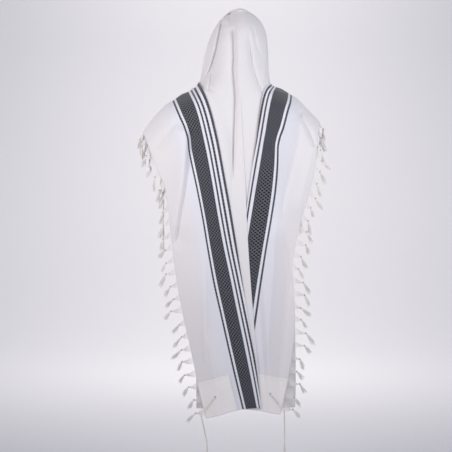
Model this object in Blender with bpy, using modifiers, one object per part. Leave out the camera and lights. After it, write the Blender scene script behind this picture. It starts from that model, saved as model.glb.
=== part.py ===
"""A tallit prayer shawl worn over the head, with both ends thrown back over the shoulders.

One rectangle of striped wool, 2.0 m from fringe to fringe and 1.5 m wide. Its middle is the hood
and the fall of cloth down the back. Each end is folded back on itself over a shoulder: an under
layer that runs back to the spine, and on it a flap that runs out again to the fringe.

Metres, +Z up. The wearer faces +Y. The origin is inside the hood's crown, where the head holds it.
Wall points are worked out on one general figure's back, each layer a little further out.
"""

import math

import bmesh
import bpy
import numpy as np
from mathutils import Vector

# Driving sizes of the cloth
CLOTH_WIDTH = 1.50          # from the neckband edge over the shoulder to the back hem
WALL = 0.0020               # woollen twill, with its nap
SEAM_GAP = 0.0004

# Stripes and plain cloth of a flap, from its inner fold to the fringe
STRIPE_AT = 0.049           # inner side of the broad band
LINE_AT = 0.118             # outermost thin line
FLAP_WIDTH = 0.283

# How far apart the layers lie
LAYER_STEP = 0.0027         # where they lie flat
LAYER_PUFF = 0.0058         # what the step grows by where the cloth turns over a shoulder
PUFF_ENDS = (0.10, 0.30)    # drops below the shoulder over which that fades
FLAP_FULLNESS = 0.007       # how far plain cloth stands off, so that a trough has room to lie in
FOLD_FADE = 0.10            # share of the way down over which a fold dies out past its end
CLEAR_OF_LEFT = (0.020, 0.050)  # the right flap lies flat under the left layers, and this far past them
UNDER_SHORTER = 0.030       # how far an under layer's front hem stays behind the flap's

# Corner patches and neckband
PATCH_SIDE = 0.14
PATCH_WALL = 0.0010
PATCH_GAP = 0.0005
PATCH_ROOM = 0.0030         # how far the upper layers stand off the lower corner patch
PATCH_ROOM_ENDS = (0.80, 0.86)  # shares of the way down over which they come to do so
BAND_WALL = 0.0012

# Fringe: a strip sewn to the edge, and tassels that hang out and down from it
TASSELS_A_SIDE = 30
LOCKS = 3
STRIP_WIDTH = 0.0030
FRINGE_CORD = 0.0024
FRINGE_CORD_LENGTH = 0.030
KNOT_SIZE = 0.0070
LOCK_LENGTH = 0.042
LOCK_WIDTH = 0.0026
LOCK_SPREAD = 1.3
FRINGE_OUT = 0.65           # a tassel's way out from the edge, for each unit down
FRINGE_LIFT = 0.25

# Corner tassels: laced through a hole, round the fringe edge, wound, then loose
TZITZIT_HOLE_IN = 0.045     # hole, in from both edges of its corner
TZITZIT_CORD = 0.0050
TZITZIT_WOUND = 0.0065
TZITZIT_WOUND_LENGTH = 0.100
TZITZIT_LOOSE_LENGTH = 0.150
TZITZIT_CLEAR = 0.008       # how far it stands off the cloth where it crosses the fringe edge
TZITZIT_OUT = 0.012
WINDINGS = 5
STRINGS_ACROSS, STRINGS_DEEP = 4, 2
STRING_WIDTH = 0.0016
STRING_SPREAD = 2.2

# The figure under the cloth
NECK_Z = -0.310             # foot of the neck, where the shoulder line starts
CREST_Y = -0.015            # top of the shoulder, front to back
TURN_LENGTH = 0.200         # cloth that this turn takes up
ROLL = 0.110                # drop over which the back turns down from the shoulder line
FRONT_ROLL = 0.090
CHEST_Y = 0.115
CHEST_TURN = 0.075
SIDE_REACH = 0.36
SIDE_POWER = 2.3
LEAST_DEPTH = 0.004
FRONT_REACH = 0.80          # drop to which the way down the front is worked out
FRONT_TUCK = 0.090          # how far the front draws in towards the chest
TUCK_DROP = 0.24            # drop by which it has
HEM_DRAW = 1.6              # how early the sides of the back fall draw in towards its hem
FACE_BOW = 1.7              # how late the hood's sides draw in towards the face edge

# Grids: how many steps each stretch of cloth is cut into
PATH_STEPS = 120            # of the fine path that a column's rows are taken from
HEM_ROWS = 3                # the patch's height, at both hems
FALL_ROWS = 17              # from there up to the turn of the back
TURN_ROWS = 5               # over the shoulder line
CHEST_ROWS = 4
FLAP_INNER_COLUMNS = 6
PATCH_COLUMNS = 6
UNDER_COLUMNS = 8
HOOD_COLUMNS = 28
HOOD_FRONT_ROWS = 3
BAND_ROWS = 2
BAND_MARGIN = 8


def table(columns, *rows):
    """A short table: the column's name gives its values, top row first."""
    return dict(zip(columns.split(), np.array(rows, float).T))


# Outline of the head and shoulders from behind, left to right, with the hood's face edge in front of
# each place and where the cloth of that place ends at the hem of the back.
OUTLINE = table(
    "   x       z     edge_x  edge_y  edge_z  hem_x",
    (-0.400, -0.565, -0.400,  0.000, -0.565, -0.22),
    (-0.370, -0.512, -0.370,  0.000, -0.512, -0.20),
    (-0.335, -0.467, -0.335,  0.000, -0.467, -0.18),
    (-0.290, -0.421, -0.290,  0.000, -0.421, -0.16),
    (-0.240, -0.381, -0.238,  0.004, -0.381, -0.14),
    (-0.195, -0.347, -0.185,  0.020, -0.349, -0.12),
    (-0.162, -0.304, -0.140,  0.055, -0.317, -0.10),
    (-0.152, -0.262, -0.120,  0.078, -0.275, -0.09),
    (-0.144, -0.205, -0.108,  0.090, -0.220, -0.08),
    (-0.120, -0.123, -0.098,  0.097, -0.140, -0.06),
    (-0.070, -0.038, -0.062,  0.101, -0.062, -0.03),
    (-0.030, -0.008, -0.030,  0.104, -0.034, -0.01),
    ( 0.006,  0.000,  0.005,  0.105, -0.028,  0.01),
    ( 0.050, -0.020,  0.045,  0.103, -0.044,  0.03),
    ( 0.088, -0.058,  0.082,  0.100, -0.078,  0.05),
    ( 0.108, -0.112,  0.106,  0.095, -0.128,  0.07),
    ( 0.113, -0.185,  0.117,  0.088, -0.200,  0.09),
    ( 0.116, -0.255,  0.120,  0.076, -0.266,  0.10),
    ( 0.124, -0.304,  0.120,  0.055, -0.316,  0.11),
    ( 0.172, -0.342,  0.165,  0.020, -0.345,  0.13),
    ( 0.225, -0.380,  0.222,  0.004, -0.380,  0.15),
    ( 0.270, -0.425,  0.270,  0.000, -0.425,  0.17),
    ( 0.320, -0.480,  0.320,  0.000, -0.480,  0.19),
    ( 0.345, -0.520,  0.345,  0.000, -0.520,  0.20),
)
HOOD_FIRST, HOOD_LAST = 3.2, 20.8    # rows of OUTLINE that the hood and back fall run between
BACK_HEM = -1.440

# Down the back: how far back the cloth hangs on the centre line, and how far its sides turn forward
BACK = table(
    "height   depth   turn",
    (-1.650, -0.172, 0.130),
    (-1.300, -0.168, 0.130),
    (-1.000, -0.163, 0.115),
    (-0.700, -0.160, 0.110),
    (-0.500, -0.152, 0.125),
    (-0.400, -0.141, 0.160),
    (-0.330, -0.130, 0.300),
    (-0.260, -0.120, 0.750),
    (-0.180, -0.115, 0.950),
    (-0.100, -0.112, 0.950),
    (-0.030, -0.095, 0.900),
    (0.020, -0.080, 0.900),
)

# The flaps on the back, from the shoulder line (0) down to the hem (1): x of the inner fold, of the
# stripe band's inner side, of the outermost line, and of the fringe edge.
LEFT_FLAP = table(
    "down   fold    stripe  line    edge",
    (0.00, -0.162, -0.204, -0.265, -0.383),
    (0.06, -0.128, -0.172, -0.237, -0.356),
    (0.12, -0.104, -0.151, -0.214, -0.330),
    (0.20, -0.081, -0.129, -0.191, -0.292),
    (0.30, -0.058, -0.106, -0.165, -0.274),
    (0.40, -0.035, -0.085, -0.142, -0.264),
    (0.50, -0.015, -0.062, -0.122, -0.249),
    (0.60, 0.005, -0.036, -0.100, -0.230),
    (0.70, 0.026, -0.011, -0.073, -0.206),
    (0.80, 0.047, 0.015, -0.046, -0.181),
    (0.90, 0.066, 0.040, -0.018, -0.158),
    (1.00, 0.081, 0.064, 0.011, -0.130),
)
RIGHT_FLAP = table(
    "down   fold    stripe  line    edge",
    (0.00, 0.125, 0.149, 0.205, 0.318),
    (0.06, 0.093, 0.121, 0.184, 0.303),
    (0.12, 0.076, 0.105, 0.163, 0.298),
    (0.20, 0.057, 0.087, 0.145, 0.284),
    (0.30, 0.037, 0.066, 0.133, 0.252),
    (0.40, 0.020, 0.045, 0.117, 0.222),
    (0.50, 0.002, 0.025, 0.098, 0.204),
    (0.60, -0.018, 0.006, 0.081, 0.210),
    (0.70, -0.038, -0.013, 0.063, 0.213),
    (0.80, -0.058, -0.032, 0.045, 0.202),
    (0.90, -0.080, -0.052, 0.026, 0.181),
    (1.00, -0.104, -0.073, 0.007, 0.155),
)
HEMS = table(
    "side    fold    stripe  line    edge",
    (-1.00, -1.563, -1.562, -1.566, -1.600),
    (1.00, -1.570, -1.568, -1.568, -1.590),
)

# The under layers: x of the fold towards the spine and of the fold over the arm
LEFT_UNDER = table(
    "down   inner   outer",
    (0.00, 0.000, -0.345),
    (0.15, 0.010, -0.300),
    (0.30, 0.020, -0.258),
    (0.45, 0.028, -0.246),
    (0.60, 0.040, -0.222),
    (0.75, 0.055, -0.194),
    (0.90, 0.072, -0.168),
    (1.00, 0.083, -0.168),
)
RIGHT_UNDER = table(
    "down   inner   outer",
    (0.00, 0.165, 0.290),
    (0.15, 0.120, 0.272),
    (0.30, 0.090, 0.236),
    (0.45, 0.070, 0.200),
    (0.60, 0.055, 0.200),
    (0.75, 0.040, 0.214),
    (0.90, 0.030, 0.216),
    (1.00, 0.020, 0.214),
)
UNDER_TOP = -0.314          # the spine end of an under layer starts here, below the hood
UNDER_OVER = (0.165, 0.250) # x over which it comes to reach right down the front
UNDER_HEM = -1.566

# The largest folds of the two flaps. Each runs from one place to the other, given as metres out from
# the inner fold and as a share of the way down, and stands out (or lies in, where negative).
FOLDS = table(
    "side  out_a  down_a  out_b  down_b  spread  height",
    (-1.0, 0.215, 0.14, 0.265, 0.42, 0.026, 0.016),
    (-1.0, 0.140, 0.10, 0.240, 0.42, 0.016, -0.006),
    (-1.0, 0.150, 0.72, 0.160, 0.96, 0.020, 0.010),
    (-1.0, 0.235, 0.45, 0.225, 0.80, 0.020, 0.009),
    (-1.0, 0.020, 0.30, 0.015, 0.90, 0.018, 0.006),
    (1.0, 0.200, -0.05, 0.190, 0.30, 0.022, 0.010),
    (1.0, 0.245, 0.05, 0.235, 0.45, 0.018, 0.012),
    (1.0, 0.150, 0.35, 0.175, 0.85, 0.022, 0.008),
    (1.0, 0.255, 0.55, 0.245, 0.92, 0.018, 0.010),
)


def smooth(at, known_at, known):
    """A curve through the known values that never swings past them."""
    steps = np.diff(known_at)
    rises = np.diff(known) / steps
    product, total = rises[:-1] * rises[1:], rises[:-1] + rises[1:]
    inner = np.where(product > 0, 2 * product / np.where(total == 0, 1, total), 0)
    slopes = np.concatenate([rises[:1], inner, rises[-1:]])
    at = np.clip(at, known_at[0], known_at[-1])
    i = np.clip(np.searchsorted(known_at, at, side="right") - 1, 0, len(steps) - 1)
    t = (at - known_at[i]) / steps[i]
    return (
        (1 + 2 * t) * (1 - t) ** 2 * known[i]
        + t * (1 - t) ** 2 * steps[i] * slopes[i]
        + t**2 * (3 - 2 * t) * known[i + 1]
        - t**2 * (1 - t) * steps[i] * slopes[i + 1]
    )


def ease(at, low, high):
    """0 below low, 1 above high, and smooth between."""
    t = np.clip((at - low) / (high - low), 0, 1)
    return t * t * (3 - 2 * t)


def outline_at(row, column):
    return smooth(row, np.arange(len(OUTLINE["x"])), OUTLINE[column])


OUTLINE_ROWS = np.linspace(0, len(OUTLINE["x"]) - 1, 240)
OUTLINE_X = outline_at(OUTLINE_ROWS, "x")
OUTLINE_Z = outline_at(OUTLINE_ROWS, "z")


def crest(x):
    """Height of the head-and-shoulder outline at x."""
    return np.interp(x, OUTLINE_X, OUTLINE_Z)


def layer_out(layer, drop):
    """How far out a layer lies, at this drop below the shoulder line."""
    return layer * (LAYER_STEP + LAYER_PUFF * (1 - ease(drop, *PUFF_ENDS)))


def rolled(drop, roll):
    """Share of its full depth that the cloth has reached, this far below the shoulder line."""
    left = 1 - np.clip(drop / roll, 0, 1)
    return np.sqrt(1 - left**2)


def back_point(x, z, out):
    """A point of the back at (x, z), `out` outside the innermost cloth."""
    depth = smooth(z, BACK["height"], BACK["depth"])
    turn = smooth(z, BACK["height"], BACK["turn"])
    plane = depth + turn * (abs(x) / SIDE_REACH) ** SIDE_POWER
    full = np.maximum(CREST_Y - plane, LEAST_DEPTH) + out
    return np.array([x, CREST_Y - full * rolled(crest(x) + out - z, ROLL), z])


def front_point(x, drop, out):
    """A point of the front, this far below the shoulder line at x."""
    inward = x - math.copysign(FRONT_TUCK, x) * ease(drop, 0, TUCK_DROP)
    plane = CHEST_Y - CHEST_TURN * (abs(inward) / SIDE_REACH) ** 2
    y = CREST_Y + (plane - CREST_Y + out) * rolled(drop, FRONT_ROLL)
    return np.array([inward, y, crest(x) + out - drop])


def along(path, lengths):
    """Points of a path at these lengths from its start."""
    steps = np.linalg.norm(np.diff(path, axis=0), axis=1)
    run = np.concatenate([[0], np.cumsum(steps)])
    return np.array([np.interp(lengths, run, path[:, axis]) for axis in range(3)]).T


def path_length(path):
    return np.linalg.norm(np.diff(path, axis=0), axis=1).sum()


def lengths_on(crest_length, total):
    """Where a column's rows lie along it: close together at the hems and over the shoulder line."""
    hem = min(PATCH_SIDE, (total - crest_length) / 2)
    places = (0, PATCH_SIDE, crest_length - TURN_LENGTH, crest_length, total - hem, total)
    steps = (HEM_ROWS, FALL_ROWS, TURN_ROWS, CHEST_ROWS, HEM_ROWS)
    runs = [
        np.linspace(low, high, count, endpoint=False)
        for low, high, count in zip(places, places[1:], steps)
    ]
    return np.concatenate([*runs, [total]])


def shares_down():
    """Shares of the way down the back, from the hem up, closest together near the shoulder."""
    return (1 - np.linspace(0, 1, PATH_STEPS)) ** 2


def back_path(x_at, top, hem, layer, relief):
    """From the hem up to the shoulder line: x_at gives x at a share of the way down."""
    points = []
    for down in shares_down():
        x = x_at(down)
        z = top + (hem - top) * down
        out = layer_out(layer, min(crest(x), NECK_Z) - z) + relief(down)
        points.append(back_point(x, z, out))
    return points


def front_path(x, layer, relief):
    """From the shoulder line forward and down the chest, further than any column needs."""
    turns = np.linspace(0, math.pi / 2, 13)[1:]
    falls = np.linspace(FRONT_ROLL, FRONT_REACH, 31)[1:]
    drops = np.concatenate([FRONT_ROLL * (1 - np.cos(turns)), falls])
    return [front_point(x, drop, layer_out(layer, drop) + relief(-drop)) for drop in drops]


def fold_relief(side, out, down):
    """How far the folds of a flap stand out at this place."""
    height = FLAP_FULLNESS * ease(out, LINE_AT - 0.01, LINE_AT + 0.04)
    for values in zip(*FOLDS.values()):
        fold = dict(zip(FOLDS, values))
        if fold["side"] != side:
            continue
        share = np.clip((down - fold["down_a"]) / (fold["down_b"] - fold["down_a"]), 0, 1)
        middle = fold["out_a"] + (fold["out_b"] - fold["out_a"]) * share
        past = max(fold["down_a"] - down, down - fold["down_b"], 0)
        fade = math.exp(-((past / FOLD_FADE) ** 2))
        height += fold["height"] * fade * math.exp(-(((out - middle) / fold["spread"]) ** 2))
    return height


def flap_grid(side, flap, layer):
    """Points of a flap: a row for each step from the back hem to the front one, fold to fringe."""
    guides_out = np.array([0, STRIPE_AT, LINE_AT, FLAP_WIDTH])
    names = ("fold", "stripe", "line", "edge")
    hems = np.array([HEMS[name][0 if side < 0 else 1] for name in names])
    columns = []
    inner_width = FLAP_WIDTH - PATCH_SIDE
    outs = np.concatenate([
        np.linspace(0, inner_width, FLAP_INNER_COLUMNS, endpoint=False),
        np.linspace(inner_width, FLAP_WIDTH, PATCH_COLUMNS + 1),
    ])
    for out in outs:

        def x_at(down, out=out):
            guides = np.array([smooth(down, flap["down"], flap[name]) for name in names])
            return float(smooth(out, guides_out, guides))

        def relief(down, out=out, x_at=x_at):
            if side < 0:
                return fold_relief(side, out, down) + PATCH_ROOM * ease(down, *PATCH_ROOM_ENDS)
            past_left = x_at(max(down, 0)) - smooth(down, LEFT_UNDER["down"], LEFT_UNDER["inner"])
            return fold_relief(side, out, down) * ease(past_left, *CLEAR_OF_LEFT)

        hem = float(smooth(out, guides_out, hems))
        top = crest(x_at(0)) + layer_out(layer, 0) + relief(0)
        back = back_path(x_at, top, hem, layer, relief)
        path = np.array(back + front_path(x_at(0), layer, relief))
        columns.append(along(path, lengths_on(path_length(np.array(back)), CLOTH_WIDTH)))
    return np.array(columns).transpose(1, 0, 2)


def under_grid(side, under, layer):
    """Points of an under layer, hem to front, spine fold to arm fold. Its spine end has no front."""
    columns = []
    for share in np.linspace(0, 1, UNDER_COLUMNS + 1):

        def x_at(down, share=share):
            inner = smooth(down, under["down"], under["inner"])
            outer = smooth(down, under["down"], under["outer"])
            return float(inner + (outer - inner) * share)

        def relief(down):
            return PATCH_ROOM * ease(down, *PATCH_ROOM_ENDS) if side < 0 else 0

        top = min(crest(x_at(0)) + layer_out(layer, 0), UNDER_TOP)
        back = back_path(x_at, top, UNDER_HEM, layer, relief)
        path = np.array(back + front_path(x_at(0), layer, relief))
        crest_length = path_length(np.array(back))
        over = (CLOTH_WIDTH - UNDER_SHORTER - crest_length) * ease(abs(x_at(0)), *UNDER_OVER)
        columns.append(along(path, lengths_on(crest_length, crest_length + over)))
    return np.array(columns).transpose(1, 0, 2)


def hood_grid():
    """Points of the hood and the fall of cloth behind it, back hem to face edge, left to right."""
    columns = []
    for row in np.linspace(HOOD_FIRST, HOOD_LAST, HOOD_COLUMNS + 1):
        x, z = outline_at(row, "x"), outline_at(row, "z")
        hem_x = outline_at(row, "hem_x")
        edge = np.array([outline_at(row, name) for name in ("edge_x", "edge_y", "edge_z")])
        path = np.array([
            back_point(x + (hem_x - x) * (1 - (1 - down) ** HEM_DRAW), z + (BACK_HEM - z) * down, 0)
            for down in shares_down()
        ])
        length = path_length(path)
        fall = np.linspace(0, length - TURN_LENGTH, FALL_ROWS + 1)[:-1]
        turn = np.linspace(length - TURN_LENGTH, length, TURN_ROWS + 2)[:-1]
        column = list(along(path, np.concatenate([fall, turn])))
        crown = np.array([x, CREST_Y, z])
        for step in np.linspace(0, 1, HOOD_FRONT_ROWS + 1):
            bow = step**FACE_BOW
            column.append(crown + (edge - crown) * np.array([bow, step, bow]))
        columns.append(column)
    return np.array(columns).transpose(1, 0, 2)


def outward(grid):
    """The outward direction at each point of a grid."""
    across = np.gradient(grid, axis=1)
    up = np.gradient(grid, axis=0)
    normals = np.cross(across, up)
    normals /= np.linalg.norm(normals, axis=2, keepdims=True)
    middle = normals[len(grid) // 3, grid.shape[1] // 2]
    return normals if middle[1] < 0 else -normals


# Objects

for old in list(bpy.data.objects):
    bpy.data.objects.remove(old, do_unlink=True)
shawl = bpy.data.collections.new("tallit_prayer_shawl")
bpy.context.scene.collection.children.link(shawl)


def material(name, colour, roughness):
    made = bpy.data.materials.new(name)
    made.use_nodes = True
    shader = made.node_tree.nodes["Principled BSDF"]
    shader.inputs["Base Color"].default_value = (*colour, 1)
    shader.inputs["Roughness"].default_value = roughness
    shader.inputs["Metallic"].default_value = 0
    return made


def add_object(name, bm, surface):
    mesh = bpy.data.meshes.new(name)
    bm.to_mesh(mesh)
    bm.free()
    mesh.materials.append(surface)
    made = bpy.data.objects.new(name, mesh)
    shawl.objects.link(made)
    return made


def add_wall(name, grid, thickness, surface):
    """A cloth wall on a grid of points: an open sheet with a Solidify modifier."""
    rows, columns = grid.shape[:2]
    bm = bmesh.new()
    bmesh.ops.create_grid(bm, x_segments=columns - 1, y_segments=rows - 1, size=1)
    for vert in bm.verts:
        column = round((vert.co.x + 1) / 2 * (columns - 1))
        row = round((vert.co.y + 1) / 2 * (rows - 1))
        vert.co = Vector(grid[row, column])
    # The rows of a column that has no front all end at one place
    bmesh.ops.remove_doubles(bm, verts=bm.verts, dist=1e-5)
    wall = add_object(name, bm, surface)
    wall.data.shade_smooth()
    solidify = wall.modifiers.new("cloth", "SOLIDIFY")
    solidify.thickness = thickness
    solidify.offset = 0
    return wall


def grow(bm, face, places, widths):
    """Extrude a face from place to place, turned to face the way it goes; returns its last face."""
    face.normal_update()
    width = math.sqrt(face.calc_area())
    centre = face.calc_center_median()
    facing = face.normal.copy()
    for place, next_width in zip(places, widths):
        turn = facing.rotation_difference(place - centre)
        face = bmesh.ops.extrude_discrete_faces(bm, faces=[face])["faces"][0]
        for vert in face.verts:
            vert.co = place + turn @ ((vert.co - centre) * (next_width / width))
        centre, width = place, next_width
        facing = turn @ facing
    face.normal_update()
    return face


def cut_end(bm, face, across, deep):
    """Cut an end face into a grid of quads, `across` by `deep`, and return them."""
    centre, facing = face.calc_center_median(), face.normal.copy()
    reach = max((vert.co - centre).length for vert in face.verts) * 1.01
    off_plane = reach * 0.02
    headings = [(edge.verts[1].co - edge.verts[0].co).normalized() for edge in face.edges[:2]]

    def on_end(part):
        ways = [vert.co - centre for vert in part.verts]
        return all(abs(way.dot(facing)) < off_plane and way.length < reach for way in ways)

    for heading, parts in zip(headings, (across, deep)):
        inside = {edge for part in bm.faces if on_end(part) for edge in part.edges}
        ways = {edge: (edge.verts[1].co - edge.verts[0].co).normalized() for edge in inside}
        lengthways = [edge for edge, way in ways.items() if abs(way.dot(heading)) > math.cos(math.pi / 4)]
        if parts > 1:
            bmesh.ops.subdivide_edges(bm, edges=lengthways, cuts=parts - 1)
    return [part for part in bm.faces if on_end(part)]


def add_strands(bm, faces, down, length, width, spread):
    """One loose strand from each face, standing a little apart from its neighbours as it hangs."""
    root = sum((face.calc_center_median() for face in faces), Vector()) / len(faces)
    for face in faces:
        start = face.calc_center_median()
        aside = (start - root) * spread
        grow(bm, face, [start + down * length + aside], [width])


def add_fringe(name, grid, normals, surface):
    """The fringe of one end: a strip along the edge and, from it, knotted tassels of three locks."""
    edge = grid[:, -1]
    heading = np.gradient(edge, axis=0)
    away = np.cross(heading, normals[:, -1])
    away *= np.sign(np.sum(away * (edge - grid[:, -2]), axis=1, keepdims=True))
    away /= np.linalg.norm(away, axis=1, keepdims=True)
    run = np.concatenate([[0], np.cumsum(np.linalg.norm(np.diff(edge, axis=0), axis=1))])
    roots = (np.arange(TASSELS_A_SIDE) + 0.5) / TASSELS_A_SIDE * run[-1]
    half = FRINGE_CORD / 2
    stations = np.unique(np.concatenate([run, roots - half, roots + half]).round(5))
    near, far = SEAM_GAP, SEAM_GAP + STRIP_WIDTH
    bm = bmesh.new()
    rings = []
    for station in stations:
        place, aside, lift = (
            Vector([np.interp(station, run, values[:, axis]) for axis in range(3)])
            for values in (edge, away, normals[:, -1])
        )
        sides = ((near, -half), (near, half), (far, half), (far, -half))
        rings.append([bm.verts.new(place + aside * reach + lift * up) for reach, up in sides])
    outer = []
    for ring, ahead in zip(rings, rings[1:]):
        for side in range(4):
            after = (side + 1) % 4
            made = bm.faces.new((ring[side], ring[after], ahead[after], ahead[side]))
            if side == 2:
                outer.append(made)
    bm.faces.new(rings[0][::-1])
    bm.faces.new(rings[-1])
    bmesh.ops.recalc_face_normals(bm, faces=bm.faces)
    for root in roots:
        face = outer[int(np.searchsorted(stations, root)) - 1]
        start = face.calc_center_median()
        aside = Vector([np.interp(root, run, away[:, axis]) for axis in range(3)])
        lift = Vector([np.interp(root, run, normals[:, -1, axis]) for axis in range(3)])
        level = Vector((aside.x, aside.y, 0)).normalized() + lift * FRINGE_LIFT
        down = (level * FRINGE_OUT + Vector((0, 0, -1))).normalized()
        knot = start + down * FRINGE_CORD_LENGTH
        places = [knot, knot + down * KNOT_SIZE * 0.4, knot + down * KNOT_SIZE]
        face = grow(bm, face, places, [FRINGE_CORD, KNOT_SIZE, KNOT_SIZE])
        add_strands(bm, cut_end(bm, face, LOCKS, 1), down, LOCK_LENGTH, LOCK_WIDTH, LOCK_SPREAD)
    return add_object(name, bm, surface)


def add_tzitzit(name, route, surface):
    """A corner tassel: strings laced through the hole, wound into a cord, then eight loose strings."""
    bm = bmesh.new()
    bmesh.ops.create_cube(bm, size=TZITZIT_CORD)
    ahead = (route[1] - route[0]).normalized()
    turn = Vector((0, 0, 1)).rotation_difference(ahead)
    for vert in bm.verts:
        vert.co = route[0] + turn @ vert.co
    bm.normal_update()
    face = max(bm.faces, key=lambda side: side.normal.dot(ahead))
    face = grow(bm, face, route[1:], [TZITZIT_CORD] * (len(route) - 1))
    down = Vector((0, 0, -1))
    places, widths = [], []
    for turns in range(1, WINDINGS + 1):
        foot = route[-1] + down * TZITZIT_WOUND_LENGTH * turns / WINDINGS
        places += [foot - down * KNOT_SIZE * 0.5, foot]
        widths += [TZITZIT_CORD, TZITZIT_WOUND]
    face = grow(bm, face, places, widths)
    ends = cut_end(bm, face, STRINGS_ACROSS, STRINGS_DEEP)
    add_strands(bm, ends, down, TZITZIT_LOOSE_LENGTH, STRING_WIDTH, STRING_SPREAD)
    return add_object(name, bm, surface)


def corner_route(grid, normals, end):
    """The way of a corner's tassel: from the hole over the patch, round the fringe edge and down."""
    rows = slice(0, HEM_ROWS + 1) if end == "back" else slice(-1, -HEM_ROWS - 2, -1)
    corner, lift = grid[rows, -PATCH_COLUMNS - 1:], normals[rows, -PATCH_COLUMNS - 1:]
    resting = WALL / 2 + PATCH_GAP + PATCH_WALL + SEAM_GAP + TZITZIT_CORD * 0.63

    def place(down_share, in_share, clear):
        row, column = down_share * HEM_ROWS, (1 - in_share) * PATCH_COLUMNS
        low_row, low_column = int(min(row, HEM_ROWS - 1)), int(min(column, PATCH_COLUMNS - 1))
        row_part, column_part = row - low_row, column - low_column

        def blend(values):
            near = values[low_row, low_column:low_column + 2]
            far = values[low_row + 1, low_column:low_column + 2]
            mixed = near * (1 - row_part) + far * row_part
            return mixed[0] * (1 - column_part) + mixed[1] * column_part

        return Vector(blend(corner) + blend(lift) * (resting + clear))

    hole = TZITZIT_HOLE_IN / PATCH_SIDE
    start = place(hole, hole, 0)
    halfway = place(hole * 0.7, hole * 0.5, TZITZIT_CLEAR / 2)
    at_edge = place(hole * 0.45, hole * 0.15, TZITZIT_CLEAR)
    aside = Vector(corner[1, -1] - corner[1, -2])
    level = Vector((aside.x, aside.y, 0)).normalized()
    return [start, halfway, at_edge, at_edge + level * TZITZIT_OUT + Vector((0, 0, -TZITZIT_OUT))]


wool = material("white_wool_twill", (0.86, 0.84, 0.84), 0.85)
patch_wool = material("white_wool_patch", (0.87, 0.85, 0.82), 0.80)
band_cloth = material("white_cotton_band", (0.80, 0.79, 0.79), 0.75)
fringe_wool = material("white_wool_fringe", (0.85, 0.83, 0.82), 0.90)
tzitzit_wool = material("white_wool_tzitzit", (0.86, 0.84, 0.80), 0.85)

hood = hood_grid()
add_wall("hood_and_back", hood, WALL, wool)

# The neckband lies on the outside of the hood along its face edge.
band_out = (WALL + BAND_WALL) / 2 + SEAM_GAP
band = (hood + outward(hood) * band_out)[-BAND_ROWS - 1:, BAND_MARGIN:-BAND_MARGIN]
add_wall("neckband", band, BAND_WALL, band_cloth)

add_wall("left_under_layer", under_grid(-1, LEFT_UNDER, 3), WALL, wool)
add_wall("right_under_layer", under_grid(1, RIGHT_UNDER, 1), WALL, wool)

for side_name, side, flap, layer in (("left", -1, LEFT_FLAP, 4), ("right", 1, RIGHT_FLAP, 2)):
    flap_points = flap_grid(side, flap, layer)
    flap_normals = outward(flap_points)
    add_wall(f"{side_name}_flap", flap_points, WALL, wool)
    patch_out = (WALL + PATCH_WALL) / 2 + PATCH_GAP
    raised = (flap_points + flap_normals * patch_out)[:, -PATCH_COLUMNS - 1:]
    add_wall(f"{side_name}_back_patch", raised[:HEM_ROWS + 1], PATCH_WALL, patch_wool)
    add_wall(f"{side_name}_front_patch", raised[-HEM_ROWS - 1:], PATCH_WALL, patch_wool)
    add_fringe(f"{side_name}_fringe", flap_points, flap_normals, fringe_wool)
    for end in ("back", "front"):
        way = corner_route(flap_points, flap_normals, end)
        add_tzitzit(f"{side_name}_{end}_tzitzit", way, tzitzit_wool)
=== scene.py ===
"""A white wool tallit with charcoal stripes, worn over the head, both ends thrown back over the shoulders."""

import math

import bpy
import numpy as np
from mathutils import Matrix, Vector, noise


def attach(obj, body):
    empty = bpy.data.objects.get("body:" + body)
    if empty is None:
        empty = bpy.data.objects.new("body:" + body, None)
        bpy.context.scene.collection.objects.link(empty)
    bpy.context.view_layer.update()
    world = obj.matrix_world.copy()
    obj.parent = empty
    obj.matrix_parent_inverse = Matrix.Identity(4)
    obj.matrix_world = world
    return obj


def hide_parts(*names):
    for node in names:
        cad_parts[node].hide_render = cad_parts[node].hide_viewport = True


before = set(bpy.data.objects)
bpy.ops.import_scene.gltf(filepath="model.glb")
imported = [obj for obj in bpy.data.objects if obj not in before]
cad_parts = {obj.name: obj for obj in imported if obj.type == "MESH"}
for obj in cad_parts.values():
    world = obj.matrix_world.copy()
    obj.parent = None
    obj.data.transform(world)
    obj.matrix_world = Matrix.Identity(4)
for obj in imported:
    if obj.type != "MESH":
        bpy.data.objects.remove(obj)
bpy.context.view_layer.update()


# The studio: a sweep of pale paper that runs under the shawl and curves up behind it, a gridded softbox
# on each side at the height of the shoulders, one for the paper behind and one for its floor, and an
# evenly light room. The camera is level with the waist. None of it is part of the shawl.

def linear(hex_colour):
    """An sRGB hex colour as linear RGBA."""
    channels = [int(hex_colour[i:i + 2], 16) / 255 for i in (1, 3, 5)]
    return (*[c / 12.92 if c <= 0.04045 else ((c + 0.055) / 1.055) ** 2.4 for c in channels], 1)


def add_node(tree, kind, inputs=(), **settings):
    """A node with its settings. Each of its inputs is given a value, or the socket that feeds it."""
    node = tree.nodes.new(kind)
    for name, value in settings.items():
        setattr(node, name, value)
    for socket, value in dict(inputs).items():
        if isinstance(value, bpy.types.NodeSocket):
            tree.links.new(value, node.inputs[socket])
        else:
            node.inputs[socket].default_value = value
    return node


def new_material(name, colour, roughness, **shader_inputs):
    """A material with a Principled shader; returns it, its tree and the shader."""
    made = bpy.data.materials.new(name)
    made.use_nodes = True
    made.node_tree.nodes.clear()
    values = {"Base Color": colour, "Roughness": roughness}
    values.update({key.replace("_", " "): value for key, value in shader_inputs.items()})
    shader = add_node(made.node_tree, "ShaderNodeBsdfPrincipled", values)
    add_node(made.node_tree, "ShaderNodeOutputMaterial", {"Surface": shader.outputs["BSDF"]})
    return made, made.node_tree, shader


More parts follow.
